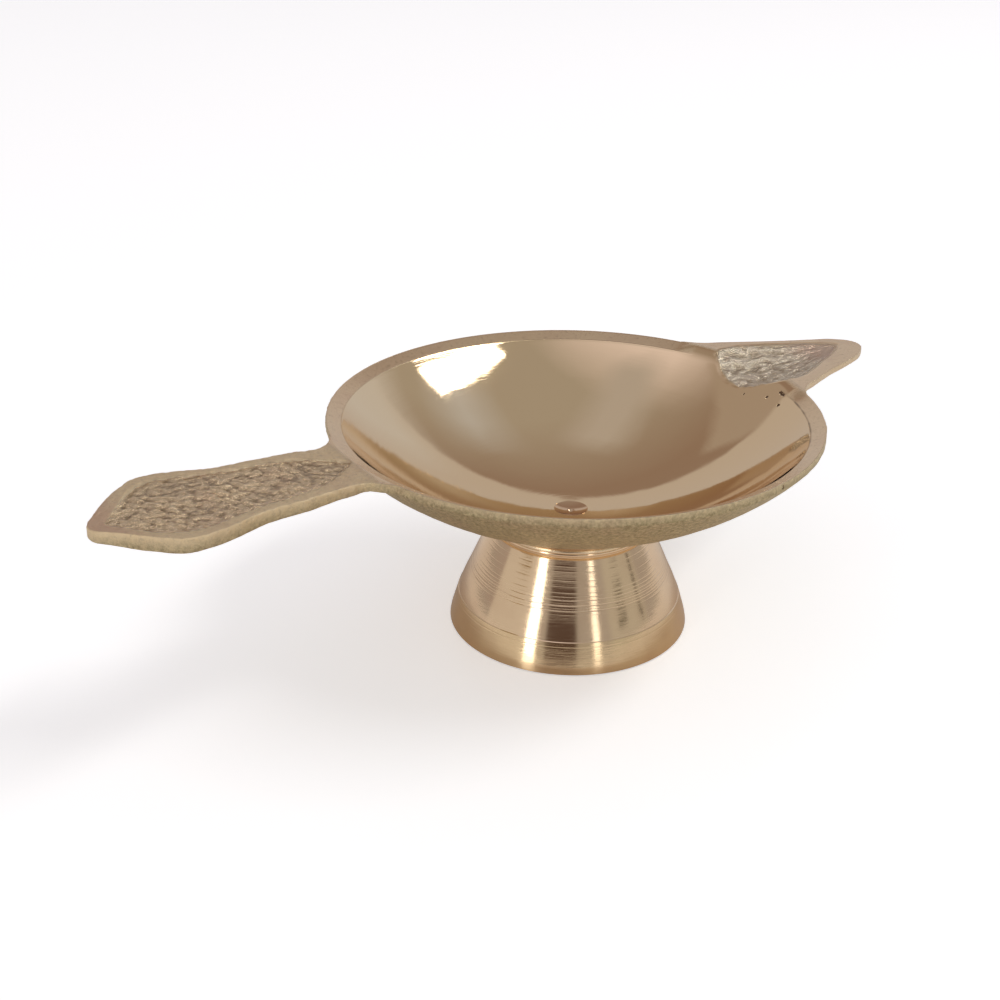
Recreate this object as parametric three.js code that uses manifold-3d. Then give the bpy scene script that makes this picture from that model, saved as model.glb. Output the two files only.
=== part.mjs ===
// A handled brass diya: an oil lamp for prayer, in millimetres, +Z up.
//
// The real lamp is three pieces of brass. The pan is one sand casting: a shallow round bowl, a flat
// handle on one side and a leaf-shaped wick rest on the other. The foot is a hollow cone, turned on
// a lathe. One rivet through both holds them together, its upper end peened flush with the bowl floor.
//
// The pieces are built round the bowl's own axis, with the handle along -X and the leaf along +X.
// The last lines move them so that the origin is at the middle of the lamp's length, on the table.
import * as THREE from "three";
import { mergeVertices } from "three/addons/utils/BufferGeometryUtils.js";
import Module from "manifold-3d";

const wasm = await Module();
wasm.setup();

// ---------------------------------------------------------------- driving dimensions

const bowl = {
  rimRadius: 37.5, // outer edge of the rim
  rimHeight: 35.5, // the same edge above the table
  rimSide: 1.2, // height of the narrow upright side below that edge
  lipRadius: 35.13, // inner edge of the rim, where the polished hollow starts
  lipDrop: 1.05, // the rim's top face slopes inwards by this much
  floorHeight: 18.64, // the hollow's lowest point
  bossRadius: 12.4, // turned pad under the bowl that sits on the foot
  // distance from the axis, and the casting's thickness there, straight down from the hollow
  wall: [[12.4, 0.95], [18, 0.95], [24, 1.2], [30, 1.85], [35.1, 2.65]],
};

const foot = {
  height: 17.0,
  baseRadius: 19.05,
  baseChamfer: 0.25,
  bandHeight: 4.85, // the plain band round the base ends in a turned step here
  bandRadius: 17.72,
  bandStep: 0.14,
  waistRadius: 15.45, // the cone narrows to this radius at waistHeight
  waistHeight: 10,
  neckRadius: 12.75,
  neckHeight: 16.3, // above this, a short collar under the boss
  collarRadius: 12.45,
  wall: 2.1,
  web: 2.6, // thickness of the top wall that the rivet goes through
};

const rivet = {
  shankRadius: 2.0,
  holeGap: 0.1,
  flareRadius: 2.6, // peened end, seen as a ring in the bowl floor
  flareDepth: 1.0,
  dish: 0.22, // the peened end is slightly hollow
  centreRadius: 0.55, // lathe-centre mark in its middle
  centreDepth: 0.3,
  headRadius: 4.2,
  headHeight: 2.1,
};

const handle = {
  reach: 74.6, // bowl axis to the tip
  endThickness: 2.3,
  neckThickness: 1.5,
  neckAt: 38.6, // narrowest place, from the bowl axis
  // [distance from the bowl axis, half width], from the rim to the shoulder
  side: [
    [36.2, 9.0],
    [38.6, 6.7],
    [42.5, 7.5],
    [50.0, 8.0],
    [54.5, 8.4],
    [59.0, 9.8],
    [62.5, 10.4],
    [65.2, 10.0],
    [67.2, 8.6],
  ],
  tipSkew: -0.9, // the blunt tip sits a little to one side
  tipHalfWidth: 1.6,
};

// The sunk panel on top of the handle, which holds the cast pattern.
const panel = {
  depth: 0.45,
  reach: 72.6,
  side: [
    [38.8, 0.4],
    [43.0, 4.6],
    [48.0, 5.7],
    [54.5, 6.5],
    [59.0, 7.8],
    [63.5, 8.3],
    [66.2, 7.2],
  ],
  tipHalfWidth: 0.8,
};

// The leaf and the trough in it are both hulls, like boats with their decks level with the rim.
const leaf = {
  rootDepth: 5.2, // underside below the rim's level where the leaf leaves the bowl
  tipDepth: 1.2,
  // [distance from the bowl axis, half width], from the bowl to the tip
  side: [
    [31.5, 19.0],
    [34.2, 15.6],
    [37.4, 12.2],
    [42.0, 10.1],
    [47.0, 8.2],
    [52.0, 6.0],
    [56.0, 4.1],
    [58.6, 2.3],
    [59.6, 0.2],
  ],
};

const trough = {
  rootDepth: 3.8,
  tipDepth: 0.05,
  side: [
    [29.0, 9.6],
    [34.0, 9.2],
    [38.0, 8.5],
    [43.0, 6.5],
    [48.0, 4.5],
    [52.0, 2.7],
    [55.4, 0.1],
  ],
};

const turns = 90; // facets round a turned surface
const turnsSmall = 36;
const turnsHull = 48;
const hullStations = 24;

// ---------------------------------------------------------------- helpers

// A three.js geometry as a manifold-3d solid.
function solid(geometry) {
  const bare = geometry.index ? geometry.toNonIndexed() : geometry.clone();
  bare.deleteAttribute("normal");
  bare.deleteAttribute("uv");
  const merged = mergeVertices(bare, 1e-4);
  return new wasm.Manifold(
    new wasm.Mesh({
      numProp: 3,
      vertProperties: merged.attributes.position.array,
      triVerts: new Uint32Array(merged.index.array),
    }),
  );
}

// A manifold-3d solid as a three.js geometry.
function geometryOf(body) {
  const mesh = body.getMesh();
  const geometry = new THREE.BufferGeometry();
  geometry.setAttribute("position", new THREE.BufferAttribute(mesh.vertProperties, 3));
  geometry.setIndex(new THREE.BufferAttribute(mesh.triVerts, 1));
  geometry.computeVertexNormals();
  return geometry;
}

// A profile of [radius, height] points, listed from the bottom up on the outside and down again on
// the inside, turned round the Z axis.
function turned(profile, segments) {
  const points = profile.map(([radius, height]) => new THREE.Vector2(radius, height));
  return new THREE.LatheGeometry(points, segments).rotateX(Math.PI / 2);
}

// Radius of the sphere whose cap is `rise` high over a circle of radius `reach`.
const capRadius = (reach, rise) => (reach * reach + rise * rise) / (2 * rise);

// Points of a spherical cap from radius `from` to radius `to`, its lowest point at `bottom`.
function capArc(sphere, bottom, from, to, steps) {
  return Array.from({ length: steps + 1 }, (_, i) => {
    const radius = from + ((to - from) * i) / steps;
    return [radius, bottom + sphere - Math.sqrt(sphere * sphere - radius * radius)];
  });
}

// The handle's outline, or its panel's: along one side, round the blunt tip and back.
function handleOutline(side, reach, tipHalfWidth) {
  const upper = side.map(([along, half]) => new THREE.Vector2(-along, half));
  const lower = upper.map((p) => new THREE.Vector2(p.x, -p.y)).reverse();
  const middle = handle.tipSkew;
  const shape = new THREE.Shape();
  shape.moveTo(upper[0].x, upper[0].y);
  shape.splineThru(upper.slice(1));
  shape.lineTo(1.2 - reach, middle + tipHalfWidth + 0.9);
  shape.quadraticCurveTo(-reach, middle + tipHalfWidth, -reach, middle);
  shape.quadraticCurveTo(-reach, middle - tipHalfWidth, 1.2 - reach, middle - tipHalfWidth - 0.9);
  shape.lineTo(lower[0].x, lower[0].y);
  shape.splineThru(lower.slice(1));
  shape.closePath();
  return shape;
}

// A plate of that outline, its top at `top` and its thickness worked out at each x.
function plateGeometry(shape, top, thicknessAt) {
  const geometry = new THREE.ExtrudeGeometry(shape, {
    depth: 1,
    steps: 1,
    curveSegments: 4,
    bevelEnabled: false,
  });
  const at = geometry.attributes.position;
  for (let i = 0; i < at.count; i++) {
    at.setZ(i, top - (1 - at.getZ(i)) * thicknessAt(at.getX(i)));
  }
  return geometry;
}

// A hull along X. At every station its section is an ellipse centred on the rim's level, as wide as
// the smooth curve through `side` says and as deep as the straight line from rootDepth to tipDepth.
function hullGeometry({ side, rootDepth, tipDepth }) {
  const curve = new THREE.SplineCurve(side.map(([along, half]) => new THREE.Vector2(along, half)));
  const stations = curve.getPoints(hullStations);
  const start = stations[0].x;
  const length = stations[hullStations].x - start;
  const hull = new THREE.CylinderGeometry(1, 1, 1, turnsHull, hullStations);
  const at = hull.attributes.position;
  for (let i = 0; i < at.count; i++) {
    const station = stations[Math.round((0.5 - at.getY(i)) * hullStations)];
    const depth = THREE.MathUtils.lerp(rootDepth, tipDepth, (station.x - start) / length);
    at.setXYZ(i, station.x, at.getX(i) * station.y, at.getZ(i) * depth + bowl.rimHeight);
  }
  return hull;
}

// ---------------------------------------------------------------- the pan

const lipHeight = bowl.rimHeight - bowl.lipDrop;
const hollowSphere = capRadius(bowl.lipRadius, lipHeight - bowl.floorHeight);
const bellyEdge = bowl.rimHeight - bowl.rimSide;
const hollowAt = (radius) =>
  bowl.floorHeight + hollowSphere - Math.sqrt(hollowSphere ** 2 - radius ** 2);

const flareHole = rivet.flareRadius + rivet.holeGap;
const hollowArc = capArc(hollowSphere, bowl.floorHeight, flareHole, bowl.lipRadius, 12);
const bellyCurve = new THREE.SplineCurve([
  ...bowl.wall.map(([radius, wall]) => new THREE.Vector2(radius, hollowAt(radius) - wall)),
  new THREE.Vector2(bowl.rimRadius, bellyEdge),
]);

function bowlGeometry() {
  const hole = rivet.shankRadius + rivet.holeGap;
  return turned(
    [
      [hole, foot.height],
      [bowl.bossRadius, foot.height],
      ...bellyCurve.getPoints(10).map(({ x, y }) => [x, y]),
      [bowl.rimRadius, bowl.rimHeight],
      ...hollowArc.toReversed(),
      [hole, hollowAt(flareHole) - rivet.flareDepth],
      [hole, foot.height],
    ],
    turns,
  );
}

// Everything above the bowl's hollow and rim face, cut out of the handle and the leaf.
function hollowGeometry() {
  const above = bowl.rimHeight + 10;
  return turned(
    [
      [0, hollowAt(flareHole)],
      ...hollowArc,
      [bowl.rimRadius, bowl.rimHeight],
      [bowl.rimRadius, above],
      [0, above],
    ],
    turns,
  );
}

function handleThickness(x) {
  const share = THREE.MathUtils.clamp((-x - handle.neckAt) / (handle.reach - handle.neckAt), 0, 1);
  return THREE.MathUtils.lerp(handle.neckThickness, handle.endThickness, Math.sqrt(share));
}

function handleGeometry() {
  const shape = handleOutline(handle.side, handle.reach, handle.tipHalfWidth);
  return plateGeometry(shape, bowl.rimHeight, handleThickness);
}

function panelGeometry() {
  const shape = handleOutline(panel.side, panel.reach, panel.tipHalfWidth);
  return plateGeometry(shape, bowl.rimHeight + 1, () => 1 + panel.depth);
}

// The leaf's hull, cut off level with the rim.
function leafSolid() {
  const deck = new THREE.BoxGeometry(80, 80, 20);
  deck.translate(40, 0, bowl.rimHeight - 10);
  return solid(hullGeometry(leaf)).intersect(solid(deck));
}

function panGeometry() {
  const wings = solid(handleGeometry()).add(leafSolid()).subtract(solid(hollowGeometry()));
  const pan = solid(bowlGeometry())
    .add(wings)
    .subtract(solid(panelGeometry()))
    .subtract(solid(hullGeometry(trough)));
  return geometryOf(pan);
}

// ---------------------------------------------------------------- the foot and the rivet

function footGeometry() {
  const inside = foot.height - foot.web;
  const hole = rivet.shankRadius + rivet.holeGap;
  return turned(
    [
      [foot.baseRadius - foot.wall, 0],
      [foot.baseRadius - foot.baseChamfer, 0],
      [foot.baseRadius, foot.baseChamfer],
      [foot.bandRadius, foot.bandHeight],
      [foot.bandRadius - foot.bandStep, foot.bandHeight],
      [foot.waistRadius, foot.waistHeight],
      [foot.neckRadius, foot.neckHeight],
      [foot.collarRadius, foot.neckHeight],
      [foot.collarRadius, foot.height],
      [hole, foot.height],
      [hole, inside],
      [foot.neckRadius - foot.wall, inside],
      [foot.waistRadius - foot.wall, foot.waistHeight],
      [foot.bandRadius - foot.wall, foot.bandHeight],
      [foot.baseRadius - foot.wall, 0],
    ],
    turns,
  );
}

function rivetGeometry() {
  const underWeb = foot.height - foot.web;
  const crown = underWeb - rivet.headHeight;
  const flareTop = hollowAt(rivet.flareRadius);
  const dome = [0, 15, 30, 45, 60, 75].map((angle) => {
    const a = THREE.MathUtils.degToRad(angle);
    return [rivet.headRadius * Math.sin(a), underWeb - rivet.headHeight * Math.cos(a)];
  });
  return turned(
    [
      [0, crown],
      ...dome.slice(1),
      [rivet.headRadius, underWeb],
      [rivet.shankRadius, underWeb],
      [rivet.shankRadius, flareTop - rivet.flareDepth],
      [rivet.flareRadius, flareTop],
      [rivet.flareRadius * 0.6, flareTop - rivet.dish * 0.75],
      [rivet.centreRadius, flareTop - rivet.dish],
      [0, flareTop - rivet.dish - rivet.centreDepth],
    ],
    turnsSmall,
  );
}

// ---------------------------------------------------------------- finishes and assembly

// Sand-cast brass, polished inside the bowl and left rough outside.
function castBrass() {
  return new THREE.MeshStandardMaterial({ color: 0xb79c74, metalness: 1, roughness: 0.3 });
}

// Bright brass with fine tool marks round it.
function turnedBrass() {
  return new THREE.MeshStandardMaterial({ color: 0xc8a882, metalness: 1, roughness: 0.2 });
}

function named(name, geometry, material) {
  const mesh = new THREE.Mesh(geometry, material);
  mesh.name = name;
  return mesh;
}

const lamp = new THREE.Group();
lamp.add(named("pan", panGeometry(), castBrass()));
lamp.add(named("foot", footGeometry(), turnedBrass()));
lamp.add(named("rivet", rivetGeometry(), turnedBrass()));
lamp.position.x = (handle.reach - leaf.side.at(-1)[0]) / 2;

const diya = new THREE.Group();
diya.add(lamp);

export default diya;
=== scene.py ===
import math

import bpy
import numpy as np
from mathutils import Matrix, Quaternion, Vector


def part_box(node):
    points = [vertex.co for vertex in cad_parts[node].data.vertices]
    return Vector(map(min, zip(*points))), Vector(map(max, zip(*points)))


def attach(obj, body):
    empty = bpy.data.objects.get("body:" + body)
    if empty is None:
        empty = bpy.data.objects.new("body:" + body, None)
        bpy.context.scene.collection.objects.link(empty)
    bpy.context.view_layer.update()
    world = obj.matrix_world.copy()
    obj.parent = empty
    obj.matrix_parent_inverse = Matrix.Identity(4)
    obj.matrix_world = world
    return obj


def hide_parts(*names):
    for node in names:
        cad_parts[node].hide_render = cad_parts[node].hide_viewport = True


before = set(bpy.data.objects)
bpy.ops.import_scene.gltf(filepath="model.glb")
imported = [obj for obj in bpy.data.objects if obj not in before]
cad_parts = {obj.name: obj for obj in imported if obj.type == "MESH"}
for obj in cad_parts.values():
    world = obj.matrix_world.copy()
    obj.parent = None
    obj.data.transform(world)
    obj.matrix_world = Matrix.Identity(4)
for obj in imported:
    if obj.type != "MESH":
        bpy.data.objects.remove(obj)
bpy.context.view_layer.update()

mm = 0.001
footLow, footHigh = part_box("foot")
panLow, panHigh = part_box("pan")
axisX = (footLow.x + footHigh.x) / 2 / mm  # the bowl's and the foot's own axis, mm from the origin
rimTop = panHigh.z / mm
footTop = footHigh.z / mm
bowlRadius = panHigh.y / mm
handleTip = axisX - panLow.x / mm  # bowl axis to the handle's tip
leafTip = panHigh.x / mm - axisX  # bowl axis to the leaf's tip
print("frame loaded, bowl radius", round(bowlRadius, 2), "mm")


cameraView = {
    "azimuth": -32.627,  # degrees from in front (-Y); negative is towards the handle
    "elevation": 25.756,
    "roll": 0.53,
    "distance": 209.94,  # mm from the point it looks at
    "aimSide": -11.126,  # that point, mm to the right of and above the bowl's axis at aimHeight
    "aimUp": 0.103,
    "aimHeight": 20.0,
    "lens": 48.33,
}


def makeCamera(view):
    azimuth, elevation, roll = (math.radians(view[k]) for k in ("azimuth", "elevation", "roll"))
    level = math.cos(elevation)
    back = Vector((math.sin(azimuth) * level, -math.cos(azimuth) * level, math.sin(elevation)))
    side = Vector((math.cos(azimuth), math.sin(azimuth), 0))
    top = back.cross(side)
    right = side * math.cos(roll) + top * math.sin(roll)
    up = top * math.cos(roll) - side * math.sin(roll)
    aim = Vector((axisX, 0, view["aimHeight"])) + right * view["aimSide"] + up * view["aimUp"]
    place = (aim + back * view["distance"]) * mm
    data = bpy.data.cameras.new("camera")
    data.lens = view["lens"]
    data.clip_start = 0.01
    data.clip_end = 20
    camera = bpy.data.objects.new("camera", data)
    bpy.context.scene.collection.objects.link(camera)
    camera.matrix_world = Matrix((right, up, back)).transposed().to_4x4()
    camera.location = place
    bpy.context.scene.camera = camera


makeCamera(cameraView)
print("camera placed")


def smoothStep(t):
    # 3t^2 - 2t^3, held at 0 and 1 outside that range
    t = np.clip(t, 0.0, 1.0)
    return t * t * (3 - 2 * t)


def softMin(a, b, width):
    # the lower of a and b, rounded over `width` where they cross
    h = np.clip(0.5 + 0.5 * (b - a) / width, 0.0, 1.0)
    return b * (1 - h) + a * h - width * h * (1 - h)


def curveThrough(points, at):
    # smooth curve through given points: cubic pieces whose slope at a point is its neighbours' slope
    px, py = np.array(points, float).T
    slope = np.gradient(py, px)
    at = np.clip(at, px[0], px[-1])
    i = np.clip(np.searchsorted(px, at) - 1, 0, len(px) - 2)
    width = px[i + 1] - px[i]
    t = (at - px[i]) / width
    return (
        (2 * t**3 - 3 * t**2 + 1) * py[i]
        + (t**3 - 2 * t**2 + t) * width * slope[i]
        + (3 * t**2 - 2 * t**3) * py[i + 1]
        + (t**3 - t**2) * width * slope[i + 1]
    )


def scatter(ix, iy, seed):
    # a fixed random number from 0 to 1 for each whole-number cell
    value = np.sin(ix * 127.1 + iy * 311.7 + seed * 74.7) * 43758.5453
    return value - np.floor(value)


def waves(x, y, seed):
    # smooth random heights from -1 to 1: cell values blended with smoothStep
    ix, iy = np.floor(x), np.floor(y)
    fx, fy = smoothStep(x - ix), smoothStep(y - iy)
    low = scatter(ix, iy, seed) * (1 - fx) + scatter(ix + 1, iy, seed) * fx
    high = scatter(ix, iy + 1, seed) * (1 - fx) + scatter(ix + 1, iy + 1, seed) * fx
    return 2 * (low * (1 - fy) + high * fy) - 1


def grit(x, y, size, seed):
    # three layers of waves, each half as wide and half as high as the one before
    return sum(waves(x / size * 2**k, y / size * 2**k, seed + k) / 2**k for k in range(3)) / 1.75


def pebbles(x, y, size, seed):
    # round bumps: 1 at each cell's own point, falling with the square of the distance to the nearest
    x, y = x / size, y / size
    ix, iy = np.floor(x), np.floor(y)
    nearest = np.full(np.shape(x), 9.0)
    for dx in (-1, 0, 1):
        for dy in (-1, 0, 1):
            cx = ix + dx + scatter(ix + dx, iy + dy, seed)
            cy = iy + dy + scatter(ix + dx, iy + dy, seed + 5)
            nearest = np.minimum(nearest, (x - cx) ** 2 + (y - cy) ** 2)
    return 1 - np.minimum(nearest * 2.2, 1.0)


def makePiece(name, points, faces, masks, material):
    # points are mm round the bowl's axis; masks are numbers from 0 to 1 at each point
    points = points + np.array([axisX, 0.0, 0.0])
    mesh = bpy.data.meshes.new(name)
    mesh.from_pydata((points * mm).tolist(), [], faces)
    mesh.polygons.foreach_set("use_smooth", np.ones(len(mesh.polygons), bool))
    mesh.set_sharp_from_angle(angle=math.radians(50))
    for key, values in masks.items():
        layer = mesh.attributes.new(key, "FLOAT", "POINT")
        layer.data.foreach_set("value", np.asarray(values, np.float32).ravel())
    mesh.materials.append(material)
    mesh.update()
    piece = bpy.data.objects.new(name, mesh)
    bpy.context.scene.collection.objects.link(piece)
    return piece


def gridQuads(index, closed=False):
    # the squares between neighbouring rows and columns of a grid of point numbers
    if closed:
        index = np.concatenate([index, index[:, :1]], axis=1)
    corners = [index[:-1, :-1], index[:-1, 1:], index[1:, 1:], index[1:, :-1]]
    return np.stack(corners, -1).reshape(-1, 4)


def turnedPiece(name, profile, columns, masks, material):
    # a profile of (radius, height) carried round the axis; a point on the axis becomes a pole
    profile = np.asarray(profile, float)
    angle = np.linspace(0, 2 * math.pi, columns, endpoint=False)
    onAxis = profile[:, 0] < 1e-6
    rings = np.flatnonzero(~onAxis)
    radius, height = profile[rings, 0][:, None], profile[rings, 1][:, None]
    points = np.stack([radius * np.cos(angle), radius * np.sin(angle), height + 0 * angle], -1)
    points = points.reshape(-1, 3)
    index = np.arange(len(points)).reshape(len(rings), columns)
    faces = gridQuads(index, closed=True).tolist()
    values = {key: np.repeat(np.asarray(mask)[rings], columns) for key, mask in masks.items()}
    if not onAxis.any():
        faces += gridQuads(np.stack([index[-1], index[0]]), closed=True).tolist()
    poles = []
    for row in np.flatnonzero(onAxis):
        pole = len(points) + len(poles)
        poles.append([0.0, 0.0, profile[row, 1]])
        ring = index[0] if row == 0 else index[-1]
        ahead = np.roll(ring, -1)
        fan = [ahead, ring] if row == 0 else [ring, ahead]
        faces += np.stack([np.full(columns, pole), *fan], -1).tolist()
        values = {key: np.append(v, masks[key][row]) for key, v in values.items()}
    points = np.concatenate([points, np.array(poles).reshape(-1, 3)])
    return makePiece(name, points, faces, values, material)


def newMaterial(name):
    material = bpy.data.materials.new(name)
    material.use_nodes = True
    tree = material.node_tree
    tree.nodes.clear()
    output = tree.nodes.new("ShaderNodeOutputMaterial")
    shader = tree.nodes.new("ShaderNodeBsdfPrincipled")
    tree.links.new(shader.outputs["BSDF"], output.inputs["Surface"])
    return material, tree, shader


def put(tree, kind, settings=None, **inputs):
    # one node; inputs are numbers, colours or other nodes' outputs, by socket name or as n0, n1 ...
    node = tree.nodes.new(kind)
    for key, value in (settings or {}).items():
        setattr(node, key, value)
    for key, value in inputs.items():
        byNumber = key[0] == "n" and key[1:].isdigit()
        socket = node.inputs[int(key[1:]) if byNumber else key]
        if isinstance(value, bpy.types.NodeSocket):
            tree.links.new(value, socket)
        else:
            socket.default_value = value
    return node


def maths(tree, operation, a, b=0.0):
    return put(tree, "ShaderNodeMath", {"operation": operation}, n0=a, n1=b).outputs[0]


def vectorMaths(tree, operation, a, b, output="Vector"):
    return put(tree, "ShaderNodeVectorMath", {"operation": operation}, n0=a, n1=b).outputs[output]


def blendNumbers(tree, share, a, b):
    node = put(tree, "ShaderNodeMix", {"data_type": "FLOAT"}, n0=share, n2=a, n3=b)
    return node.outputs[0]


def blendColours(tree, share, a, b):
    node = put(tree, "ShaderNodeMix", {"data_type": "RGBA"}, n0=share, n6=a, n7=b)
    return node.outputs[2]


def spread(tree, value, low, high, toLow=0.0, toHigh=1.0):
    # value carried from low..high to toLow..toHigh, held at the ends
    node = put(tree, "ShaderNodeMapRange", {"clamp": True})
    for i, number in ((0, value), (1, low), (2, high), (3, toLow), (4, toHigh)):
        if isinstance(number, bpy.types.NodeSocket):
            tree.links.new(number, node.inputs[i])
        else:
            node.inputs[i].default_value = number
    return node.outputs[0]


def brassCoordinates(tree):
    # object coordinates in mm with the lamp's axis at zero, and the distance from that axis
    place = tree.nodes.new("ShaderNodeTexCoord").outputs["Object"]
    centred = put(tree, "ShaderNodeMapping", Vector=place)
    centred.inputs["Location"].default_value = (-axisX, 0, 0)
    centred.inputs["Scale"].default_value = (1000, 1000, 1000)
    point = centred.outputs[0]
    parts = put(tree, "ShaderNodeSeparateXYZ", Vector=point)
    x, y, z = parts.outputs[0], parts.outputs[1], parts.outputs[2]
    squares = maths(tree, "ADD", maths(tree, "MULTIPLY", x, x), maths(tree, "MULTIPLY", y, y))
    return point, x, maths(tree, "SQRT", squares), z


def noise(tree, vector, scale, detail=2.0, roughness=0.5):
    node = put(tree, "ShaderNodeTexNoise", Vector=vector, Scale=scale, Detail=detail, Roughness=roughness)
    return node.outputs[0]


def noiseColour(tree, vector, scale):
    return put(tree, "ShaderNodeTexNoise", Vector=vector, Scale=scale, Detail=2.0).outputs[1]


def ringNoise(tree, point, radius, z, scale):
    # noise that changes fast with radius and height and slowly across: broken rings round the axis
    slow = vectorMaths(tree, "MULTIPLY", point, (0.07, 0.07, 0.0))
    rings = put(tree, "ShaderNodeCombineXYZ", X=radius, Y=0.0, Z=z).outputs[0]
    return noise(tree, vectorMaths(tree, "ADD", rings, slow), scale, 4.0, 0.65)


def mask(tree, name):
    return put(tree, "ShaderNodeAttribute", {"attribute_name": name}).outputs["Fac"]


def bump(tree, height, distance, normal=None):
    node = put(tree, "ShaderNodeBump", Height=height, Distance=distance, Strength=1.0)
    if normal is not None:
        tree.links.new(normal, node.inputs["Normal"])
    return node.outputs[0]


panFinish = {
    "polished": (0.855, 0.645, 0.395, 1),
    "ground": (0.86, 0.66, 0.425, 1),
    "cast": (0.70, 0.575, 0.34, 1),
    "castDark": (0.36, 0.28, 0.155, 1),
    # lighter colour of the upper edges: partly wear, partly a painted highlight
    "edge": (0.96, 0.77, 0.50, 1),
    "panel": (0.80, 0.63, 0.41, 1),
    "trough": (0.80, 0.70, 0.53, 1),
    "recess": (0.40, 0.29, 0.18, 1),
    "reddish": (0.64, 0.40, 0.29, 1),
    # dark colour of the casting pits, and of a thin line painted along the lip on the near side towards
    # the leaf
    "pitAndLipDark": (0.15, 0.09, 0.05, 1),
    "hollowRoughness": 0.045,
    "groundRoughness": 0.24,
    "castRoughness": 0.45,
    "panelRoughness": 0.22,
    "troughRoughness": 0.18,
    # heights of the fine relief, in metres
    "polishMarks": 0.000012,
    "polishWaves": 0.000024,
    "grainHeight": 0.0003,
    "pitDepth": 0.0003,
    "marksFade": (-24, 12),  # x in mm, between which the polishing marks fade towards the leaf
    # casting pits: where, in mm from the bowl's axis and the floor, and their radius
    "pits": [
        (33.0, -6.8, 32.9, 0.2), (32.1, -10.4, 33.0, 0.24), (32.7, -1.9, 31.9, 0.13),
        (31.4, -8.4, 32.3, 0.12), (33.8, -8.9, 34.3, 0.22), (33.6, -9.4, 34.3, 0.27),
        (33.4, -9.9, 34.3, 0.24), (8.6, -36.9, 34.9, 0.4),
    ],
}


def pitShare(tree, point, pits):
    # 1 within a pit's radius, falling to 0 by one and a half times that; noise makes its edge ragged
    ragged = 0.5  # mm; the noise is 0 to 1, so on average it moves a point half of this
    shift = vectorMaths(tree, "MULTIPLY", noiseColour(tree, point, 3.0), (ragged, ragged, ragged))
    shifted = vectorMaths(tree, "ADD", point, shift)
    share = 0.0
    for x, y, z, size in pits:
        centre = (x + ragged / 2, y + ragged / 2, z + ragged / 2)
        away = vectorMaths(tree, "DISTANCE", shifted, centre, "Value")
        share = maths(tree, "MAXIMUM", share, spread(tree, away, size, size * 1.5, 1.0, 0.0))
    return share


def panBrass(finish):
    material, tree, shader = newMaterial("panBrass")
    point, x, radius, z = brassCoordinates(tree)
    hollow, ground, panel, trough = (mask(tree, key) for key in ("hollow", "ground", "panel", "trough"))
    recess, warm, lip, edge = (mask(tree, key) for key in ("recess", "warm", "lip", "edge"))
    blotches = noise(tree, point, 0.16, 3.0)
    specks = noise(tree, point, 1.6, 4.0, 0.65)
    grain = noise(tree, point, 1.9, 5.0, 0.72)
    pits = pitShare(tree, point, finish["pits"])
    colour = blendColours(tree, spread(tree, grain, 0.36, 0.62), finish["castDark"], finish["cast"])
    # upper edges painted lighter: partly wear, partly a painted highlight
    colour = blendColours(tree, maths(tree, "MULTIPLY", edge, 0.9), colour, finish["edge"])
    colour = blendColours(tree, panel, colour, finish["panel"])
    colour = blendColours(tree, trough, colour, finish["trough"])
    colour = blendColours(tree, recess, colour, finish["recess"])
    colour = blendColours(tree, ground, colour, finish["ground"])
    colour = blendColours(tree, hollow, colour, finish["polished"])
    bare = maths(tree, "SUBTRACT", 1.0, hollow)
    stain = maths(tree, "MULTIPLY", spread(tree, specks, 0.54, 0.76), maths(tree, "MULTIPLY", bare, 0.45))
    colour = blendColours(tree, stain, colour, finish["recess"])
    reddened = maths(tree, "MULTIPLY", bare, spread(tree, blotches, 0.5, 0.8, 0.0, 0.3))
    colour = blendColours(tree, maths(tree, "MAXIMUM", warm, reddened), colour, finish["reddish"])
    # casting pits are dark; a thin dark line is also painted in patches along the lip on the near side
    # towards the leaf
    patchy = spread(tree, noise(tree, point, 0.5, 3.0, 0.6), 0.34, 0.6, 0.1, 0.85)
    pitsAndLipLine = maths(tree, "MAXIMUM", pits, maths(tree, "MULTIPLY", lip, patchy))
    colour = blendColours(tree, pitsAndLipLine, colour, finish["pitAndLipDark"])
    tree.links.new(colour, shader.inputs["Base Color"])
    rough = blendNumbers(tree, panel, finish["castRoughness"], finish["panelRoughness"])
    rough = blendNumbers(tree, trough, rough, finish["troughRoughness"])
    rough = blendNumbers(tree, ground, rough, finish["groundRoughness"])
    rough = blendNumbers(tree, hollow, rough, finish["hollowRoughness"])
    rough = maths(tree, "ADD", rough, spread(tree, blotches, 0.3, 0.7, -0.01, 0.03))
    rough = maths(tree, "ADD", rough, maths(tree, "MULTIPLY", pits, 0.4))
    tree.links.new(rough, shader.inputs["Roughness"])
    polished = maths(tree, "MAXIMUM", hollow, ground)
    rings = ringNoise(tree, point, radius, z, 2.4)
    brushed = maths(tree, "MULTIPLY", polished, spread(tree, x, *finish["marksFade"], 1.0, 0.3))
    normal = bump(tree, maths(tree, "MULTIPLY", rings, brushed), finish["polishMarks"])
    uneven = maths(tree, "MULTIPLY", noise(tree, point, 0.22, 1.0), hollow)
    normal = bump(tree, uneven, finish["polishWaves"], normal)
    groundDown = blendNumbers(tree, ground, 1.0, 0.06)  # grinding leaves little of the grain
    grain = maths(tree, "MULTIPLY", maths(tree, "MULTIPLY", grain, groundDown), bare)
    normal = bump(tree, grain, finish["grainHeight"], normal)
    normal = bump(tree, pits, -finish["pitDepth"], normal)
    tree.links.new(normal, shader.inputs["Normal"])
    shader.inputs["Metallic"].default_value = 1.0
    return material


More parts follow.
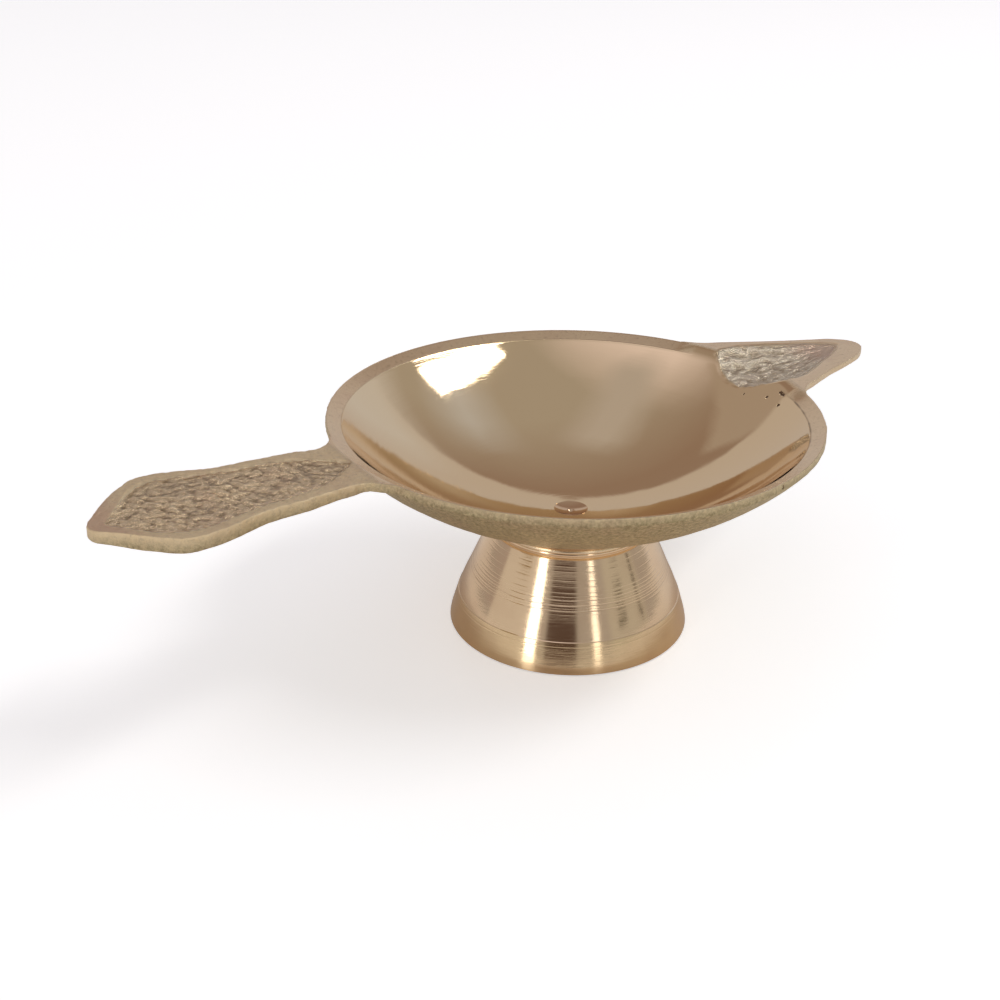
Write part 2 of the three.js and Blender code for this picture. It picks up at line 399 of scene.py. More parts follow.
turnedFinish = {
    "bright": (0.86, 0.64, 0.42, 1),
    "band": (0.86, 0.64, 0.385, 1),
    "inside": (0.60, 0.45, 0.27, 1),
    "tarnish": (0.66, 0.43, 0.27, 1),
    "roughness": 0.11,
    "insideRoughness": 0.45,
    "turningMarks": 0.000009,  # heights of the fine relief, in metres
    "insideGrain": 0.0002,
}


def turnedBrass(name, finish):
    material, tree, shader = newMaterial(name)
    point, _, radius, z = brassCoordinates(tree)
    inside, band = mask(tree, "inside"), mask(tree, "band")
    blotches = noise(tree, point, 0.2, 3.0)
    colour = blendColours(tree, band, finish["bright"], finish["band"])
    colour = blendColours(tree, spread(tree, blotches, 0.42, 0.8, 0.0, 0.35), colour, finish["tarnish"])
    colour = blendColours(tree, inside, colour, finish["inside"])
    tree.links.new(colour, shader.inputs["Base Color"])
    rings = ringNoise(tree, point, radius, z, 4.0)
    rough = maths(tree, "ADD", finish["roughness"], spread(tree, rings, 0.3, 0.75, -0.04, 0.07))
    rough = blendNumbers(tree, inside, rough, finish["insideRoughness"])
    tree.links.new(rough, shader.inputs["Roughness"])
    normal = bump(tree, rings, finish["turningMarks"])
    grain = maths(tree, "MULTIPLY", noise(tree, point, 2.2, 5.0, 0.7), inside)
    normal = bump(tree, grain, finish["insideGrain"], normal)
    tree.links.new(normal, shader.inputs["Normal"])
    shader.inputs["Metallic"].default_value = 1.0
    return material


# the pan is one casting of bowl, handle and leaf; sizes in mm, distances from the bowl's axis
bowl = {
    "lipRadius": 35.13,  # where the polished hollow meets the rim's ground face
    "lipHeight": rimTop - 1.05,
    "floorHeight": 18.64,
    # radius and the casting's thickness there, straight down from the hollow
    "wall": [(12.4, 0.95), (18, 0.95), (24, 1.2), (30, 1.85), (35.1, 2.65), (37.5, 3.05)],
    "bossRadius": 12.4,
    "turnedTo": 23.0,  # the underside is turned smooth out to this radius, and rough-cast beyond
    "rivetHole": 2.63,
    "shankHole": 2.08,
    "castRelief": 0.05,  # depth of the sand-cast unevenness outside
    "fileMarks": 0.055,  # depth of the marks across the outer wall
    "edge": 0.2,  # radius that the casting's upper edges are worn to
    "underEdge": 0.35,
}

handle = {
    "root": (165.0, 196.0),  # degrees round the bowl
    "start": 37.0,
    "neckThickness": 1.45,
    "endThickness": 2.35,
    "endWorn": 0.5,  # how much thinner the last few mm are
    "endHalfWidth": 1.5,
    "endBulge": 0.5,
    "tipSkew": -0.9,  # the tip lies this far to the near side
    # distance from the bowl's axis and half width there
    "farSide": [
        (37.6, 7.6), (39.2, 6.7), (43.0, 7.3), (50, 7.8), (55, 8.2), (59.5, 9.7), (63, 10.4),
        (65.4, 10.1), (67.2, 8.8), (70, 6.0),
    ],
    "nearSide": [
        (37.4, 8.8), (38.8, 7.4), (41.0, 7.2), (48, 7.9), (54, 8.3), (59, 9.9), (62.6, 10.5),
        (65.2, 10.2), (67.2, 8.8), (70, 6.0),
    ],
    "panelDepth": 0.44,
    "panelSide": [
        (37.6, 0.4), (40, 2.5), (43.5, 4.9), (48, 6.1), (54.5, 6.9), (59, 8.1), (63.5, 8.7), (66, 7.7),
        (72.4, 0.5),
    ],
    "pebble": 0.98,  # width of the panel's bumps
    "pebbleHeight": 0.38,
    "borderRelief": 0.09,
}

leaf = {
    "root": (-21.0, 25.4),
    "tipDepth": 1.1,
    "rootDepth": 5.6,
    "edgeThickness": 0.3,
    "endHalfWidth": 2.0,
    "endBulge": 0.75,
    "farSide": [(36.3, 13.7), (39.4, 12.2), (44, 9.8), (48.9, 7.4), (53.8, 5.2), (57, 3.7)],
    "nearSide": [(36.1, 12.1), (37.5, 11.1), (39.5, 10.3), (45, 8.1), (52, 5.8), (56.9, 3.7)],
    "troughSide": [
        (28, 6.0), (31, 6.5), (34, 7.4), (37, 8.5), (40, 8.5), (44, 7.1), (48, 5.1), (52, 3.3), (55, 1.4),
        (56.4, 0.1),
    ],
    "troughMiddle": 0.95,  # the trough lies a little to the far side
    "troughDepth": 3.2,
    "troughEnds": (33.0, 56.4),
    "wrinkle": (0.06, 0.23),  # height of the trough's wrinkles at its tip and at its mouth
}

hollowReach = bowl["lipHeight"] - bowl["floorHeight"]
hollowSphere = (bowl["lipRadius"] ** 2 + hollowReach**2) / (2 * hollowReach)


def capHeight(sphere, bottom, radius):
    # height of a ball's inside surface at that distance from the axis
    return bottom + sphere - np.sqrt(np.maximum(sphere**2 - radius**2, 1.0))


def inSector(angle, start, end, fade):
    # 1 between the two angles, falling to 0 over `fade` degrees outside them
    middle, half = (start + end) / 2, (end - start) / 2
    away = np.abs((angle - middle + 180) % 360 - 180) - half
    return 1 - smoothStep(away / fade)


def troughHeight(x, y):
    # a parabola across: troughDepth deep at the mouth, running out to nothing at the tip
    start, end = leaf["troughEnds"]
    depth = leaf["troughDepth"] * np.clip((end - x) / (end - start), 0.0, 1.3) ** 0.95
    half = curveThrough(leaf["troughSide"], x)
    share = (y - leaf["troughMiddle"]) / half
    return rimTop - depth * (1 - share**2) + np.where(x > end, 5.0, 0.0)


def panTop(x, y):
    # the hollow's ball, cut off by the rim's face, which slopes down inwards except at the leaf
    radius = np.hypot(x, y)
    angle = np.degrees(np.arctan2(y, x))
    ball = capHeight(hollowSphere, bowl["floorHeight"], radius)
    slope = (rimTop - bowl["lipHeight"]) / (bowlRadius - bowl["lipRadius"])
    face = np.minimum(bowl["lipHeight"] + slope * (radius - bowl["lipRadius"]), rimTop)
    atLeaf = inSector(angle, leaf["root"][0] + 4, leaf["root"][1] - 6, 6.0)
    face = face + (rimTop - face) * atLeaf
    return softMin(ball, face, 0.14 + 1.5 * atLeaf)


def panBelly(x, y):
    # the hollow lowered by the wall's thickness; under the leaf, its own keeled hull where that is lower
    radius = np.minimum(np.hypot(x, y), bowlRadius)
    ball = capHeight(hollowSphere, bowl["floorHeight"], radius) - curveThrough(bowl["wall"], radius)
    along = np.clip((x - 31.5) / (leafTip - 31.5), 0, 1)
    depth = leaf["rootDepth"] + (leaf["tipDepth"] - leaf["rootDepth"]) * along**0.85
    far = curveThrough([(31.5, 19.0), (34, 16.2), *leaf["farSide"], (leafTip, 0.6)], x)
    near = curveThrough([(31.5, 19.0), (34, 15.6), *leaf["nearSide"], (leafTip, 0.6)], x)
    share = np.clip(np.abs(y) / (np.where(y > 0, far, near) - bowl["edge"]), 0, 1)
    edge = leaf["edgeThickness"]
    hull = rimTop - edge - (depth - edge) * (1 - np.sqrt(share**2 + 0.02)) / (1 - math.sqrt(0.02))
    hull = np.where(x > 30, hull, rimTop + 9)
    return softMin(ball, hull, 0.8)


def wingPlan(wing, reach, direction, columns, stations):
    # columns run out from the rim's arc; each row of them is a straight line between the two sides,
    # bulged to fit the arc at the root and the blunt end at the tip
    angle = np.radians(np.linspace(*wing["root"], columns))
    radius = bowlRadius - bowl["edge"]
    arc = np.stack([radius * np.cos(angle), radius * np.sin(angle)], -1)
    skew = wing.get("tipSkew", 0.0)
    tip = reach - bowl["edge"] - wing["endBulge"]

    def side(points, root, sign):
        listed = [(abs(root[0]), abs(root[1]))] + [(a, h - bowl["edge"]) for a, h in points]
        listed.append((tip, wing["endHalfWidth"] + sign * skew))
        along = listed[0][0] + (tip - listed[0][0]) * np.linspace(0, 1, stations) ** 1.1
        return np.stack([direction * along, sign * curveThrough(listed, along)], -1)

    # the near side is the one towards -Y; the handle's columns start at its far side
    first, last = arc[0], arc[-1]
    a = side(wing["nearSide" if direction > 0 else "farSide"], first, -direction)
    b = side(wing["farSide" if direction > 0 else "nearSide"], last, direction)
    t = np.linspace(0, 1, columns)[None, :, None]
    plan = a[:, None] * (1 - t) + b[:, None] * t
    straight = first * (1 - t[0]) + last * t[0]
    progress = np.linspace(0, 1, stations)
    fade = (1 - smoothStep(progress / 0.45))[:, None, None]
    plan = plan + fade * (arc - straight)[None]
    blunt = smoothStep((progress - 0.9) / 0.1)[:, None] * (1 - (2 * t[0, :, 0] - 1) ** 2)[None]
    plan[..., 0] += direction * wing["endBulge"] * blunt
    return plan


def bossProfile():
    # radius and height from the rivet's hole to where the turned boss runs into the belly
    edge = bowl["bossRadius"]
    rise = [
        (-0.1, 0), (0, 0.08), (0, 0.5), (-0.09, 0.58), (0, 0.66), (0.02, 1.6), (0.15, 2.05), (0.45, 2.3),
    ]
    flat = [(bowl["shankHole"], footTop), (7.0, footTop)]
    return flat + [(edge + out, footTop + up) for out, up in rise]


def panMesh():
    leafColumns, handleColumns, freeColumns = 100, 80, 110
    leafRoot, handleRoot = leaf["root"], handle["root"]
    angles = np.concatenate([
        np.linspace(*leafRoot, leafColumns),
        np.linspace(leafRoot[1], handleRoot[0], freeColumns + 2)[1:-1],
        np.linspace(*handleRoot, handleColumns),
        np.linspace(handleRoot[1], leafRoot[0] + 360, freeColumns + 2)[1:-1],
    ])
    turn = np.radians(angles)
    rim = bowlRadius - bowl["edge"]
    upRadii = np.concatenate([
        np.linspace(bowl["rivetHole"], 29.6, 17),
        np.linspace(30.0, 34.5, 15),
        [34.7, 34.85, 34.97, 35.05, 35.12, 35.19, 35.27, 35.4, 35.65, 36.0, 36.35, 36.7, 37.0, rim],
    ])
    downRadii = np.concatenate([[r for r, _ in bossProfile()], np.linspace(13.3, 36.4, 27), [36.9, rim]])

    def ringPlan(radii):
        return np.stack([radii[:, None] * np.cos(turn), radii[:, None] * np.sin(turn)], -1)

    handleAt = leafColumns + freeColumns
    leafPlan = wingPlan(leaf, leafTip, 1, leafColumns, 112)
    handlePlan = wingPlan(handle, handleTip, -1, handleColumns, 165)
    blocks = {}
    plans, start = [], 0
    for side, radii in (("up", upRadii), ("down", downRadii)):
        rings = ringPlan(radii)
        index = start + np.arange(rings[..., 0].size).reshape(rings.shape[:2])
        start += index.size
        plans.append(rings.reshape(-1, 2))
        blocks[side] = [(index, True)]
        for plan, at in ((leafPlan, 0), (handlePlan, handleAt)):
            count = plan.shape[1]
            own = start + np.arange(plan[1:, :, 0].size).reshape(plan.shape[0] - 1, count)
            start += own.size
            plans.append(plan[1:].reshape(-1, 2))
            blocks[side].append((np.concatenate([index[-1:, at : at + count], own]), False))
    plan = np.concatenate(plans)
    upCount = blocks["down"][0][0][0, 0]
    return plan, blocks, upCount, handleAt, leafColumns, handleColumns


def outerLoop(blocks, handleAt, leafColumns, handleColumns):
    # point numbers along the casting's whole outline, anticlockwise from the leaf's near root
    rings, leafGrid, handleGrid = (grid for grid, _ in blocks)
    rim = rings[-1]
    return np.concatenate([
        leafGrid[:, 0], leafGrid[-1, 1:-1], leafGrid[::-1, -1],
        rim[leafColumns:handleAt],
        handleGrid[:, 0], handleGrid[-1, 1:-1], handleGrid[::-1, -1],
        rim[handleAt + handleColumns :],
    ])


def panelOnHandle(x, y):
    # 1 inside the panel's outline, falling to 0 over 0.42 mm at its edge
    half = curveThrough(handle["panelSide"], -x)
    skew = handle["tipSkew"] * smoothStep((-x - 64) / 8)
    inside = smoothStep((half - np.abs(y - skew)) / 0.42)
    start, end = handle["panelSide"][0][0], handle["panelSide"][-1][0]
    return inside * (x < -start) * (x > -end)


def panUpper(x, y):
    # the top, with the pebbled panel and the wrinkled trough sunk into it, and the shares from 0 to 1
    # that place their finishes
    pebbled = panelOnHandle(x, y)
    onHandle = smoothStep((-x - handle["start"]) / 1.5) * (np.abs(y) < 12)
    sway = 0.35 * waves(x / 2.6, y / 2.6, 81)
    scales = pebbles((x * 0.82 + y * 0.3) + sway, y + sway, handle["pebble"], 3)
    relief = scales * (0.75 + 0.5 * waves(x / 4.0, y / 3.0, 85)) + 0.5 * grit(x, y, 0.6, 8)
    border = handle["borderRelief"] * (grit(x, y, 1.1, 21) + pebbles(x, y, 0.8, 25) - 1)
    sink = handle["panelDepth"] - handle["pebbleHeight"] * relief
    upper = panTop(x, y) + onHandle * border - pebbled * sink

    trough = troughHeight(x, y)
    inTrough = smoothStep((upper - trough) / 0.35) * (x > 30) * (x < 58) * (np.abs(y) < 14)
    lane = (y - leaf["troughMiddle"]) / curveThrough(leaf["troughSide"], x)
    ridges = waves(x / 3.2 + 0.4 * waves(x, y, 33), lane * 8, 31)
    flecks = pebbles(x * 0.62, lane * 7.5, 1.05, 12) - 0.5
    atTip, atMouth = leaf["wrinkle"]
    height = atTip + (atMouth - atTip) * (1 - smoothStep((x - 36) / 18))
    wrinkle = height * (1.1 * ridges + 1.2 * flecks + 0.7 * grit(x, y, 0.9, 17))
    onLeaf = (x > 28) & (np.abs(y) < 16)
    upper = np.where(onLeaf, softMin(upper, trough, 0.22), upper) + inTrough * wrinkle
    upper = softMin(upper, rimTop, 0.1)  # no bump stands above the rim's plane

    sunkInPanel = 0.6 * pebbled * (1 - smoothStep(relief / 0.42))
    sunkInTrough = 0.4 * inTrough * smoothStep(-wrinkle / 0.12)
    reddishTip = 0.55 * smoothStep((-x - 67.5) / 5) * (1 - pebbled)
    reddishTrough = 0.5 * inTrough * smoothStep((x - 45.5) / 6)
    shares = {
        "panel": pebbled,
        "trough": inTrough,
        "recess": sunkInPanel + sunkInTrough,
        "warm": reddishTip + reddishTrough,
        # the handle's plain border painted lighter: partly wear, partly a painted highlight
        "edge": 0.75 * onHandle * (1 - pebbled),
    }
    return upper, shares, onHandle


def panLower(x, y, rough):
    # the underside: the belly, running into the handle's flat underside, with sand-cast relief
    share = np.clip((-x - 38.6) / (handleTip - 38.6), 0, 1)
    thicker = (handle["endThickness"] - handle["neckThickness"]) * np.sqrt(share)
    thickness = handle["neckThickness"] + thicker - handle["endWorn"] * smoothStep((-x - 69.5) / 4.5)
    underHandle = rimTop - thickness
    angle = np.degrees(np.arctan2(y, x))
    nearHandle = smoothStep((-x - 34.5) / 3.0) * inSector(angle, *handle["root"], 2.0)
    lower = panBelly(x, y)
    lower = lower + nearHandle * (softMin(lower, underHandle, 0.3) - lower)
    lower = np.where(-x > 38.0, underHandle, lower)
    relief = bowl["castRelief"]
    return lower + rough * (relief * grit(x, y, 2.6, 41) + relief * grit(x, y, 1.1, 51) + 0.06)


def panWall(edge, under):
    # rows of points between the outline's upper and lower loops: a small round, a straight side with
    # file marks across it, and a larger round below
    tangent = np.roll(edge[:, :2], -1, 0) - np.roll(edge[:, :2], 1, 0)
    outward = np.column_stack([tangent[:, 1], -tangent[:, 0]])
    outward /= np.linalg.norm(outward, axis=1, keepdims=True)
    length = np.cumsum(np.linalg.norm(edge[:, :2] - np.roll(edge[:, :2], 1, 0), axis=1))
    tall = edge[:, 2] - under[:, 2]
    upRound = np.minimum(bowl["edge"], tall * 0.4)
    lowRound = np.minimum(bowl["underEdge"], tall * 0.45)
    upLeans, lowLeans = np.radians([65, 35, 0]), np.radians([0, 45])
    rows = [(lean, edge[:, 2] - upRound * (1 - math.sin(lean))) for lean in upLeans]
    rows += [(lean, under[:, 2] + lowRound * (1 - math.sin(lean))) for lean in lowLeans]
    points = []
    for lean, z in rows:
        marks = 0.04 * grit(length, z * 1.5, 1.1, 61) + bowl["fileMarks"] * waves(length / 0.34, z / 4, 71)
        depth = 0.5 if lean == upLeans[0] else 1.0
        offset = bowl["edge"] * math.cos(lean) + depth * (marks - 0.06)
        points.append(np.column_stack([edge[:, :2] + outward * offset[:, None], z]))
    return points


def makePan():
    plan, blocks, upCount, handleAt, leafColumns, handleColumns = panMesh()
    x, y = plan.T
    radius = np.hypot(x, y)
    up = np.arange(len(plan)) < upCount
    rough = smoothStep((radius - bowl["turnedTo"]) / 1.6)
    upper, shares, onHandle = panUpper(x, y)
    lower = panLower(x, y, rough)
    bossHeights = np.array([h for _, h in bossProfile()])
    lower[blocks["down"][0][0][: len(bossHeights)]] = bossHeights[:, None]
    surface = np.column_stack([plan, np.where(up, upper, lower)])
    quads = [gridQuads(grid, closed)[:, ::-1] for grid, closed in blocks["up"]]
    quads += [gridQuads(grid, closed) for grid, closed in blocks["down"]]

    topLoop = outerLoop(blocks["up"], handleAt, leafColumns, handleColumns)
    lowLoop = outerLoop(blocks["down"], handleAt, leafColumns, handleColumns)
    wallPoints = panWall(surface[topLoop], surface[lowLoop])
    wallIndex = len(surface) + np.arange(len(wallPoints) * len(topLoop)).reshape(-1, len(topLoop))
    wallGrid = np.vstack([topLoop, wallIndex, lowLoop])
    quads.append(gridQuads(wallGrid, closed=True)[:, ::-1])

    # the rivet's hole: a countersink, then straight
    mouth, outlet = blocks["up"][0][0][0], blocks["down"][0][0][0]
    neck = surface[mouth].copy()
    neck[:, :2] *= (bowl["shankHole"] + 0.02) / bowl["rivetHole"]
    neck[:, 2] = capHeight(hollowSphere, bowl["floorHeight"], bowl["rivetHole"]) - 1.0
    wallPoints.append(neck)
    neckIndex = wallIndex[-1, -1] + 1 + np.arange(len(neck))
    quads.append(gridQuads(np.stack([mouth, neckIndex, outlet]), closed=True))

    # finishes, for the material
    angle = np.degrees(np.arctan2(y, x))
    polished = 1 - smoothStep((radius - bowl["lipRadius"] + 0.05) / 0.18)
    nearLeaf = inSector(angle, leaf["root"][0] + 4, leaf["root"][1] - 6, 6) * (radius > 30)
    polished = np.maximum(polished, nearLeaf * (1 - smoothStep((radius - 36.2) / 2.0)))
    polished = up * polished * (1 - shares["trough"])
    ground = (1 - polished) * (1 - shares["panel"]) * (1 - shares["trough"]) * (1 - 0.8 * onHandle)
    # a thin band at the lip's edge on the near side towards the leaf, which the material paints dark in
    # patches
    lip = np.exp(-(((radius - bowl["lipRadius"] - 0.06) / 0.09) ** 2)) * inSector(angle, -44, -24, 12)
    finishes = {key: up * share for key, share in shares.items()}
    finishes.update(hollow=polished, ground=np.where(up, ground, 1 - rough), lip=up * lip)

    # the outer wall is painted lighter at its top, as wear and as a painted highlight, most of all along
    # the handle, and ground on the leaf
    walls = np.concatenate(wallPoints)
    belowRim = rimTop - walls[:, 2]
    alongHandle = smoothStep((-walls[:, 0] - 34) / 8) * smoothStep((2.2 - belowRim) / 1.6)
    allRound = 0.45 * smoothStep((0.9 - belowRim) / 0.6)
    onWall = {
        "edge": np.maximum(alongHandle, allRound) * (belowRim < 4),
        "ground": 0.85 * smoothStep((walls[:, 0] - 35) / 3),
    }
    plain = np.zeros(len(walls))
    masks = {key: np.append(value, onWall.get(key, plain)) for key, value in finishes.items()}
    points = np.concatenate([surface, *wallPoints])
    return makePiece("panCasting", points, np.concatenate(quads).tolist(), masks, panBrass(panFinish))


pan = makePan()
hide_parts("pan")
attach(pan, "root")
print("pan made,", len(pan.data.polygons), "faces")


foot = {
    # height and outer radius, mm
    "outside": [
        (0.0, 19.05), (1.0, 18.85), (2.0, 18.57), (3.0, 18.27), (4.85, 17.68), (7, 16.8), (9, 15.87),
        (11, 15.0), (13, 14.1), (15, 13.15), (16.2, 12.6),
    ],
    "bandTop": 4.85,  # height of the plain band round the base
    "bandStep": 0.07,  # how far the band stands out
    # height and depth of the lines cut round it
    "scribed": [
        (4.1, 0.008), (8.7, 0.007), (9.2, 0.022), (9.55, 0.012), (9.95, 0.026), (10.3, 0.01),
        (10.7, 0.02), (11.2, 0.012), (11.75, 0.012), (12.6, 0.007), (13.4, 0.008), (14.6, 0.008),
        (15.3, 0.01),
    ],
    "collarAt": 16.2,
    "collarRadius": 12.35,
    "wall": 2.1,  # thickness of the side
    "web": 2.6,  # thickness of the top, which the rivet goes through
}


def makeFoot():
    z = np.unique(np.concatenate([
        np.linspace(0.3, foot["collarAt"], 110),
        *[[at - 0.09, at - 0.03, at, at + 0.03, at + 0.09] for at, _ in foot["scribed"]],
        [foot["bandTop"] - 0.02, foot["bandTop"] + 0.02],
    ]))
    radius = curveThrough(foot["outside"], z)
    for at, depth in foot["scribed"]:
        radius = radius - depth * np.exp(-(((z - at) / 0.055) ** 2))
    radius = radius - foot["bandStep"] * (z > foot["bandTop"]) * np.exp(-(z - foot["bandTop"]) / 2.5)
    outer = np.column_stack([radius, z])
    baseRadius = foot["outside"][0][1]
    base = [(baseRadius - 0.25, 0.0), (baseRadius - 0.1, 0.03), (baseRadius - 0.03, 0.1)]
    neck, start = foot["collarRadius"], foot["collarAt"]
    collar = [
        (neck + 0.1, start + 0.08), (neck, start + 0.16),
        (neck, start + 0.35), (neck - 0.08, start + 0.4), (neck, start + 0.45),
        (neck, footTop - 0.06), (neck - 0.06, footTop), (bowl["shankHole"], footTop),
    ]
    under = footTop - foot["web"]
    innerZ = np.linspace(under - 0.6, 0.4, 40)
    innerRadius = curveThrough(foot["outside"], innerZ) - foot["wall"]
    ceiling = [(bowl["shankHole"], under), (4.4, under), (innerRadius[0] - 0.6, under)]
    inner = [*ceiling, *zip(innerRadius, innerZ)]
    lip = [(baseRadius - foot["wall"], 0.12), (baseRadius - foot["wall"] + 0.1, 0.0)]
    profile = np.array([*base, *outer, *collar, *inner, *lip])
    first = len(base) + len(outer) + len(collar)
    inside = (np.arange(len(profile)) >= first).astype(float)
    band = (profile[:, 1] < foot["bandTop"]) * (1 - inside)
    brass = turnedBrass("footBrass", turnedFinish)
    return turnedPiece("turnedFoot", profile, 200, {"inside": inside, "band": band}, brass)


footPiece = makeFoot()
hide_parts("foot")
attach(footPiece, "root")
print("foot made,", len(footPiece.data.polygons), "faces")


# radii and depths, mm
rivet = {
    "shank": 2.0,
    "flare": 2.62,  # the peened end that fills the countersink
    "flareDepth": 1.0,
    "dish": 0.42,
    "centreRadius": 0.5,
    "centreDepth": 0.32,
    "head": 4.1,
    "headHeight": 2.0,
}

rivetFinish = dict(turnedFinish, bright=(0.80, 0.57, 0.36, 1), roughness=0.07)


def makeRivet():
    # upper end: a shallow dish with a lathe-centre cone; lower head: a quarter ellipse
    under = footTop - foot["web"]
    flush = float(capHeight(hollowSphere, bowl["floorHeight"], rivet["flare"]))
    lean = np.radians(np.linspace(0, 84, 18))
    domeHeight = under - 0.1 - (rivet["headHeight"] - 0.1) * np.cos(lean)
    dome = np.column_stack([rivet["head"] * np.sin(lean), domeHeight])
    seat = under - 0.02
    shank = [(rivet["head"], seat), (rivet["shank"], seat), (rivet["shank"], flush - rivet["flareDepth"])]
    flare = [(rivet["flare"], flush - 0.03), (rivet["flare"] - 0.02, flush)]
    across = np.linspace(rivet["flare"] - 0.1, rivet["centreRadius"] + 0.06, 20)
    dish = np.column_stack([across, flush - rivet["dish"] * (1 - (across / rivet["flare"]) ** 2)])
    low, deep = flush - rivet["dish"], rivet["centreDepth"]
    centre = [(0.25, low - deep * 0.6), (0.08, low - deep * 0.95), (0.0, low - deep)]
    profile = np.array([*dome, *shank, *flare, *dish, (rivet["centreRadius"], low - 0.03), *centre])
    plain = np.zeros(len(profile))
    brass = turnedBrass("rivetBrass", rivetFinish)
    return turnedPiece("peenedRivet", profile, 96, {"inside": plain, "band": plain}, brass)


rivetPiece = makeRivet()
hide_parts("rivet")
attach(rivetPiece, "root")
print("rivet made,", len(rivetPiece.data.polygons), "faces")


studio = {
    "floorSize": 8.0,
    "floorColour": (0.92, 0.92, 0.91, 1),
    "floorGlow": 0.42,
    "floorRoughness": 0.35,
    "tableColour": (0.80, 0.78, 0.74, 1),  # the floor as the brass reflects it: darker, with less glow
    "shadeColour": (0.52, 0.40, 0.29, 1),  # a painted shadow on that floor close round the foot
    "shadeRadii": (29.0, 50.0),  # mm from the foot's axis, where the shade starts to fade and ends
    "tableGlow": 0.1,
    "dome": (0.41, 0.40, 0.40),
    "backdrop": (1.0, 1.0, 1.0),
}

# soft panels on the dome: azimuth from +Y towards +X, elevation, width, height in degrees; then blur
# of the edge in radians, and colour
panels = {
    "rosyCorner": (8, 38, 110, 50, 0.7, (0.30, 0.235, 0.215)),
    "overheadGlow": (-104, 56, 64, 32, 0.45, (0.80, 0.76, 0.88)),
    "ceilingPanel": (-30, 76, 40, 15, 0.16, (0.48, 0.48, 0.53)),
    "windowGlow": (92, 54, 26, 12, 0.26, (0.52, 0.57, 0.70)),
    "farRight": (-42, 26, 74, 44, 0.06, (0.40, 0.36, 0.355)),
    "paleWall": (42, 10, 98, 50, 0.03, (0.53, 0.51, 0.53)),
    "leftWall": (80, 8, 40, 46, 0.2, (0.58, 0.61, 0.70)),
    "nearLeft": (-82, 8, 46, 46, 0.05, (0.62, 0.60, 0.58)),
    "nearRight": (150, 8, 44, 40, 0.1, (0.50, 0.50, 0.47)),
    "darkBox": (157, 11, 10, 3.4, 0.015, (0.09, 0.08, 0.055)),
    "darkPole": (134, 9, 2.6, 9, 0.012, (0.05, 0.035, 0.02)),
    "darkFlag": (-139, -3, 30, 50, 0.06, (0.10, 0.07, 0.06)),
}

# lamps: azimuth, elevation, width, height, roll (degrees), distance in metres, radiance
softboxes = {
    "window": (122, 55, 34, 10, -26, 1.8, 8.0),
    "tallStrip": (-110, 11, 10, 36, 0, 1.5, 3.8),
    "shortStrip": (-173, 9, 6, 26, 0, 1.5, 1.5),
}


def directionOf(azimuth, elevation):
    a, e = math.radians(azimuth), math.radians(elevation)
    return Vector((math.sin(a) * math.cos(e), math.cos(a) * math.cos(e), math.sin(e)))


def makeFloor():
    half = studio["floorSize"] / 2
    mesh = bpy.data.meshes.new("floor")
    gap = -0.0001
    corners = [(-half, -half, gap), (half, -half, gap), (half, half, gap), (-half, half, gap)]
    mesh.from_pydata(corners, [], [(0, 1, 2, 3)])
    material, tree, shader = newMaterial("palePaper")
    shader.inputs["Base Color"].default_value = studio["floorColour"]
    shader.inputs["Roughness"].default_value = studio["floorRoughness"]
    shader.inputs["Emission Color"].default_value = (1, 1, 1, 1)
    shader.inputs["Emission Strength"].default_value = studio["floorGlow"]
    table = tree.nodes.new("ShaderNodeBsdfPrincipled")
    place = tree.nodes.new("ShaderNodeTexCoord").outputs["Object"]
    axis = (axisX * mm, 0, 0)
    away = vectorMaths(tree, "DISTANCE", place, axis, "Value")
    # a painted shadow round the foot, on the floor as the brass reflects it
    fade = spread(tree, away, studio["shadeRadii"][0] * mm, studio["shadeRadii"][1] * mm)
    colour = blendColours(tree, fade, studio["shadeColour"], studio["tableColour"])
    tree.links.new(colour, table.inputs["Base Color"])
    table.inputs["Roughness"].default_value = studio["floorRoughness"]
    table.inputs["Emission Color"].default_value = (1, 0.97, 0.92, 1)
    table.inputs["Emission Strength"].default_value = studio["tableGlow"]
    direct = tree.nodes.new("ShaderNodeLightPath").outputs["Is Camera Ray"]
    either = put(tree, "ShaderNodeMixShader", n0=direct, n1=table.outputs[0], n2=shader.outputs[0])
    output = next(node for node in tree.nodes if node.type == "OUTPUT_MATERIAL")
    tree.links.new(either.outputs[0], output.inputs["Surface"])
    mesh.materials.append(material)
    floor = bpy.data.objects.new("floor", mesh)
    bpy.context.scene.collection.objects.link(floor)


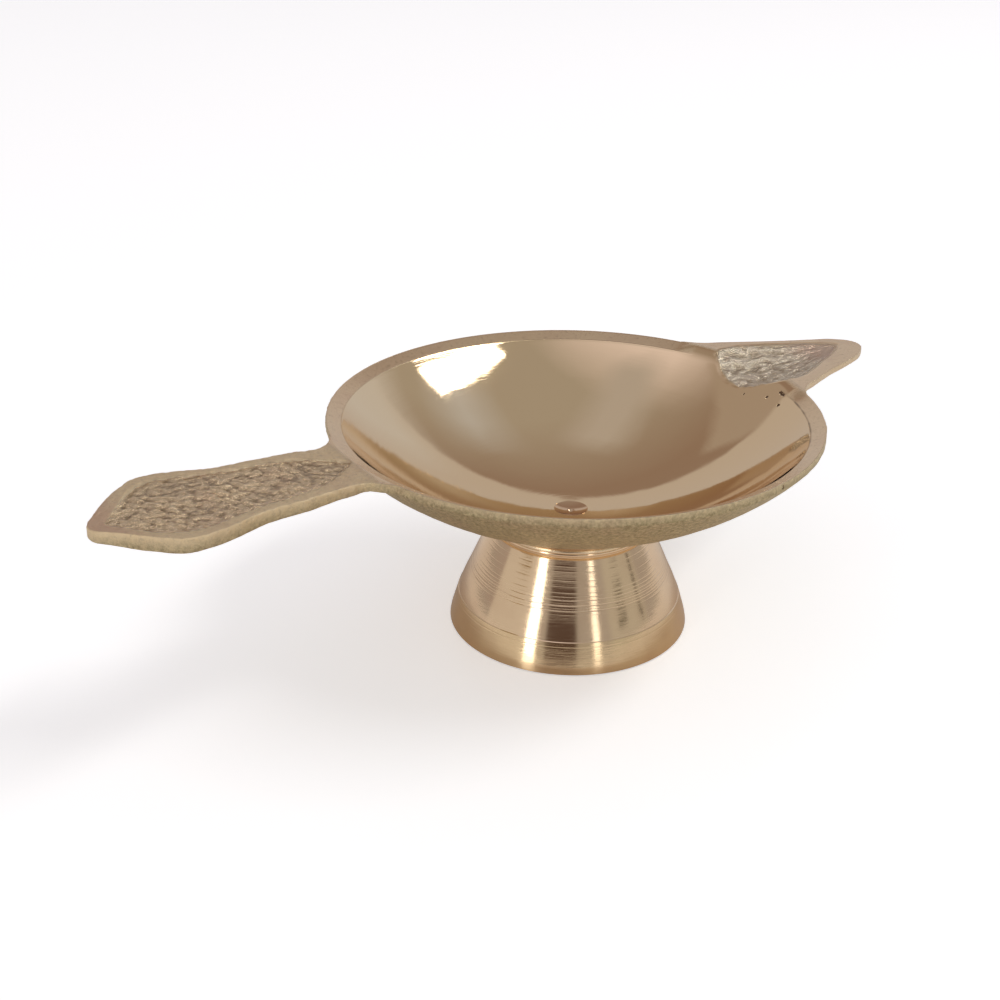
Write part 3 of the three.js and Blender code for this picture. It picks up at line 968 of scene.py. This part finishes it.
def makeSoftbox(name, azimuth, elevation, width, height, roll, distance, radiance):
    toward = directionOf(azimuth, elevation)
    data = bpy.data.lights.new(name, "AREA")
    data.shape = "RECTANGLE"
    data.size = 2 * distance * math.tan(math.radians(width / 2))
    data.size_y = 2 * distance * math.tan(math.radians(height / 2))
    data.energy = radiance * math.pi * data.size * data.size_y
    lamp = bpy.data.objects.new(name, data)
    bpy.context.scene.collection.objects.link(lamp)
    lamp.location = toward * distance + Vector((axisX * mm, 0, 0.03))
    lamp.rotation_mode = "QUATERNION"
    lamp.rotation_quaternion = toward.to_track_quat("Z", "Y") @ Quaternion((0, 0, 1), math.radians(roll))
    lamp.visible_camera = False


def panelShare(tree, direction, azimuth, elevation, width, height, blur):
    # 1 inside the panel: the direction's offsets across and up, over its depth, inside the half sizes
    toward = directionOf(azimuth, elevation)
    across = Vector((toward.y, -toward.x, 0)).normalized()
    up = across.cross(toward)
    depth = vectorMaths(tree, "DOT_PRODUCT", direction, toward, "Value")
    parts = []
    for axis, size in ((across, width), (up, height)):
        side = vectorMaths(tree, "DOT_PRODUCT", direction, axis, "Value")
        away = maths(tree, "ABSOLUTE", maths(tree, "ARCTAN2", side, depth))
        half = math.radians(size / 2)
        parts.append(spread(tree, away, half - blur / 2, half + blur / 2, 1.0, 0.0))
    return maths(tree, "MULTIPLY", *parts)


def makeWorld():
    world = bpy.data.worlds.new("studio")
    bpy.context.scene.world = world
    world.use_nodes = True
    tree = world.node_tree
    tree.nodes.clear()
    direction = tree.nodes.new("ShaderNodeTexCoord").outputs["Generated"]
    colour = put(tree, "ShaderNodeRGB").outputs[0]
    colour.default_value = (*studio["dome"], 1)
    for azimuth, elevation, width, height, blur, tone in panels.values():
        share = panelShare(tree, direction, azimuth, elevation, width, height, blur)
        colour = blendColours(tree, share, colour, (*tone, 1))
    seen = tree.nodes.new("ShaderNodeLightPath").outputs["Is Camera Ray"]
    colour = blendColours(tree, seen, colour, (*studio["backdrop"], 1))
    shine = put(tree, "ShaderNodeBackground", Color=colour)
    output = tree.nodes.new("ShaderNodeOutputWorld")
    tree.links.new(shine.outputs[0], output.inputs["Surface"])


makeFloor()
makeWorld()
for name, spec in softboxes.items():
    makeSoftbox(name, *spec)
bpy.context.scene.view_settings.view_transform = "Standard"
print("studio lit")
